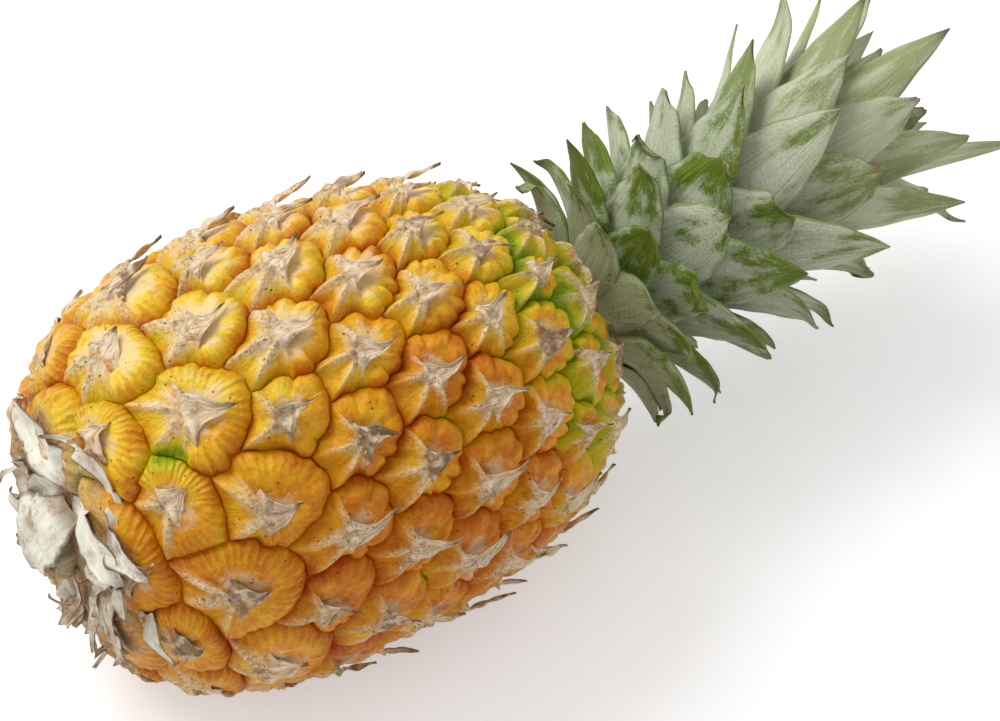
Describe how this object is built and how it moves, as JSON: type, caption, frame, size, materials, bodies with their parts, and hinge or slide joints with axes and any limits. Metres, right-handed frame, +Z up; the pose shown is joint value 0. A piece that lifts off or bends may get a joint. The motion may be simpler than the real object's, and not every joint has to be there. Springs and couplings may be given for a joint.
{
  "type": "pineapple",
  "caption": "Whole ripe pineapple with its leafy crown, lying on its side: barrel-shaped fruit covered in raised eyes, dry bracts around the cut stalk, stiff pointed leaves.",
  "frame": {"origin": "bottom centre of the bounding box, on the surface that the fruit lies on", "axes": "+X along the fruit from its base to its crown, +Y to the left, +Z up"},
  "size_m": [0.3276, 0.1336, 0.1315],
  "materials": {
    "fruit_skin": "waxy orange-yellow skin, dark in the creases, dry grey-pink bracts on each eye",
    "stalk": "cut, dried fibrous stalk",
    "dry_bract": "dry, papery and off-white",
    "stem": "pale green stem of the crown",
    "leaf": "stiff leaf with a silver-grey waxy bloom over green"
  },
  "bodies": {
    "root": {"base_bract_1": "dry_bract", "base_bract_2": "dry_bract", "base_bract_3": "dry_bract", "base_bract_4": "dry_bract", "base_bract_5": "dry_bract", "base_bract_6": "dry_bract", "crown_heart": "leaf", "crown_leaf_01": "leaf", "crown_leaf_02": "leaf", "crown_leaf_03": "leaf", "crown_leaf_04": "leaf", "crown_leaf_05": "leaf", "crown_leaf_06": "leaf", "crown_leaf_07": "leaf", "crown_leaf_08": "leaf", "crown_leaf_09": "leaf", "crown_leaf_10": "leaf", "crown_leaf_11": "leaf", "crown_leaf_12": "leaf", "crown_leaf_13": "leaf", "crown_leaf_14": "leaf", "crown_leaf_15": "leaf", "crown_leaf_16": "leaf", "crown_leaf_17": "leaf", "crown_leaf_18": "leaf", "crown_leaf_19": "leaf", "crown_leaf_20": "leaf", "crown_leaf_21": "leaf", "crown_leaf_22": "leaf", "crown_leaf_23": "leaf", "crown_leaf_24": "leaf", "crown_leaf_25": "leaf", "crown_leaf_26": "leaf", "crown_leaf_27": "leaf", "crown_leaf_28": "leaf", "crown_leaf_29": "leaf", "crown_leaf_30": "leaf", "crown_leaf_31": "leaf", "crown_leaf_32": "leaf", "crown_leaf_33": "leaf", "crown_leaf_34": "leaf", "crown_leaf_35": "leaf", "crown_leaf_36": "leaf", "crown_leaf_37": "leaf", "crown_leaf_38": "leaf", "crown_leaf_39": "leaf", "crown_leaf_40": "leaf", "crown_leaf_41": "leaf", "crown_leaf_42": "leaf", "crown_leaf_43": "leaf", "crown_leaf_44": "leaf", "crown_leaf_45": "leaf", "crown_leaf_46": "leaf", "crown_leaf_47": "leaf", "crown_leaf_48": "leaf", "crown_leaf_49": "leaf", "crown_leaf_50": "leaf", "crown_stem": "stem", "fruit": "fruit_skin", "fruit_stalk": "stalk"}
  },
  "joints": []
}
